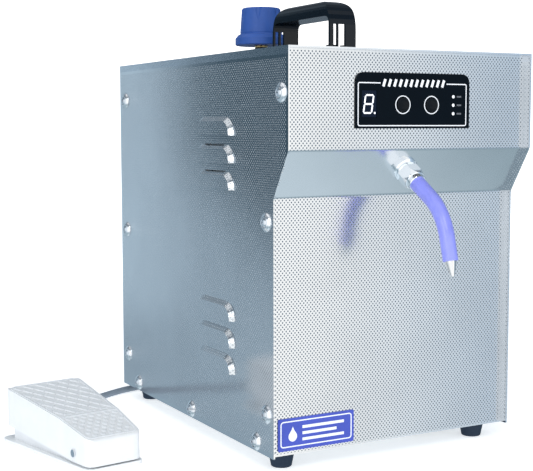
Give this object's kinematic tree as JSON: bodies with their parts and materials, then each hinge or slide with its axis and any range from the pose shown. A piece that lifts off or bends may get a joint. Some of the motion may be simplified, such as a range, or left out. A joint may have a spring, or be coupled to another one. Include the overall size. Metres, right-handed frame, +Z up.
{
  "type": "steam cleaner",
  "caption": "Benchtop steel steam cleaner with a bent steam nozzle, control fascia, carrying handle, screwed filler cap and a foot pedal on a coiled cable.",
  "frame": {"origin": "on the floor, under the middle of the cabinet's footprint", "axes": "+Z up, the front with the nozzle faces -Y, +X to the viewer's right when facing the front"},
  "size_m": [0.4457, 0.5653, 0.437],
  "materials": {
    "embossed_steel": "embossed dots",
    "cover_steel": "satin",
    "inner_steel": "satin",
    "bright_steel": "polished",
    "washer_metal": "polished",
    "foot_rubber": "matte",
    "handle_plastic": "glossy",
    "fascia_film": "smooth film",
    "display_window": "smooth",
    "button_plastic": "smooth",
    "light_lens": "clear lens",
    "board_green": "lacquered",
    "badge_blue": "printed plate",
    "sleeve_silicone": "soft silicone",
    "brass": "machined",
    "seal_rubber": "matte",
    "cap_blue": "satin moulding",
    "insulation": "felt",
    "heater_grey": "dull",
    "black_moulding": "fine grain",
    "coil_resin": "moulded",
    "copper_pipe": "bare copper",
    "lever_red": "dipped",
    "pedal_white": "satin moulding",
    "pedal_foot": "matte",
    "cable_grey": "smooth jacket"
  },
  "bodies": {
    "cabinet": {"base_chassis": "inner_steel", "front_panel": "embossed_steel", "side_panel_left": "embossed_steel", "side_panel_right": "embossed_steel", "top_cover": "cover_steel", "rear_panel": "embossed_steel", "casing_screws": "bright_steel", "cup_washers": "washer_metal", "rubber_feet": "foot_rubber", "mounting_screws": "bright_steel", "handle": "handle_plastic", "control_fascia": "fascia_film", "display_module": "display_window", "indicator_lights": "light_lens", "control_board": "board_green", "badge": "badge_blue", "nozzle_bulkhead": "bright_steel", "nozzle_locknut": "bright_steel", "union_nut": "bright_steel", "nozzle_tube": "bright_steel", "nozzle_sleeve": "sleeve_silicone", "nozzle_tip": "bright_steel", "filler_neck": "brass", "boiler_shell": "inner_steel", "insulation_jacket": "insulation", "boiler_stand": "inner_steel", "heating_element": "heater_grey", "thermostat": "black_moulding", "pressure_switch": "heater_grey", "safety_valve_body": "brass", "level_probe": "bright_steel", "steam_pipe": "copper_pipe", "solenoid_body": "brass", "solenoid_coil": "coil_resin", "mains_inlet": "black_moulding", "power_switch_body": "black_moulding", "power_board": "board_green", "drain_pipe": "copper_pipe", "drain_valve_body": "brass", "pedal_base": "pedal_white", "pedal_pin": "bright_steel", "pedal_spring": "bright_steel", "pedal_switch": "black_moulding", "pedal_feet": "pedal_foot", "cable_gland": "black_moulding", "cable_relief": "pedal_white", "cable_coil": "cable_grey", "cable_lead": "cable_grey", "cable_tail": "cable_grey"},
    "plug": {"cap_plug": "brass", "cap_gasket": "seal_rubber"},
    "knob": {"cap_knob": "cap_blue"},
    "left_button": {"button_left": "button_plastic"},
    "right_button": {"button_right": "button_plastic"},
    "rocker": {"power_rocker": "black_moulding"},
    "drain_handle": {"drain_lever": "lever_red"},
    "pedal": {"pedal_cover": "pedal_white"},
    "switch_arm": {"switch_lever": "bright_steel"},
    "plunger": {"solenoid_plunger": "bright_steel"},
    "relief_stem": {"safety_valve_stem": "bright_steel"}
  },
  "joints": [
    {"name": "cap_lift", "type": "slide", "parent": "cabinet", "child": "plug", "axis": [0, 0, 1], "range_m": [0, 0.006]},
    {"name": "cap_turn", "type": "hinge", "parent": "plug", "child": "knob", "pos_m": [0, 0.101, 0.4], "axis": [0, 0, 1], "range_deg": [0, 720]},
    {"name": "button_left_press", "type": "slide", "parent": "cabinet", "child": "left_button", "axis": [0, 1, 0], "range_m": [0, 0.001], "stiffness_N_per_m": 600, "springref_m": -0.001},
    {"name": "button_right_press", "type": "slide", "parent": "cabinet", "child": "right_button", "axis": [0, 1, 0], "range_m": [0, 0.001], "stiffness_N_per_m": 600, "springref_m": -0.001},
    {"name": "power_rocker_tilt", "type": "hinge", "parent": "cabinet", "child": "rocker", "pos_m": [0.088, 0.19, 0.152], "axis": [1, 0, 0], "range_deg": [0, 16]},
    {"name": "drain_lever_turn", "type": "hinge", "parent": "cabinet", "child": "drain_handle", "pos_m": [0.045, 0.211, 0.042], "axis": [0, 0, 1], "range_deg": [0, 90]},
    {"name": "pedal_press", "type": "hinge", "parent": "cabinet", "child": "pedal", "pos_m": [-0.25048, -0.05524, 0.0155], "axis": [-0.9903, -0.1392, 0], "range_deg": [0, 5], "stiffness_Nm_per_rad": 8, "springref_deg": -3.44, "deforming": ["pedal_spring"]},
    {"name": "switch_lever_tilt", "type": "hinge", "parent": "cabinet", "child": "switch_arm", "pos_m": [-0.26908, -0.02352, 0.026], "axis": [-0.9903, -0.1392, 0], "range_deg": [0, 11]},
    {"name": "solenoid_plunger_lift", "type": "slide", "parent": "cabinet", "child": "plunger", "axis": [1, 0, 0], "range_m": [0, 0.0025], "stiffness_N_per_m": 300, "springref_m": -0.003},
    {"name": "safety_valve_lift", "type": "slide", "parent": "cabinet", "child": "relief_stem", "axis": [0, 0, 1], "range_m": [0, 0.003], "stiffness_N_per_m": 2000, "springref_m": -0.004}
  ],
  "couplings": [
    {"joint": "cap_turn", "follows": "cap_lift", "rad_per_m": 2094.4},
    {"joint": "switch_lever_tilt", "follows": "pedal_press", "ratio": 2.172}
  ]
}
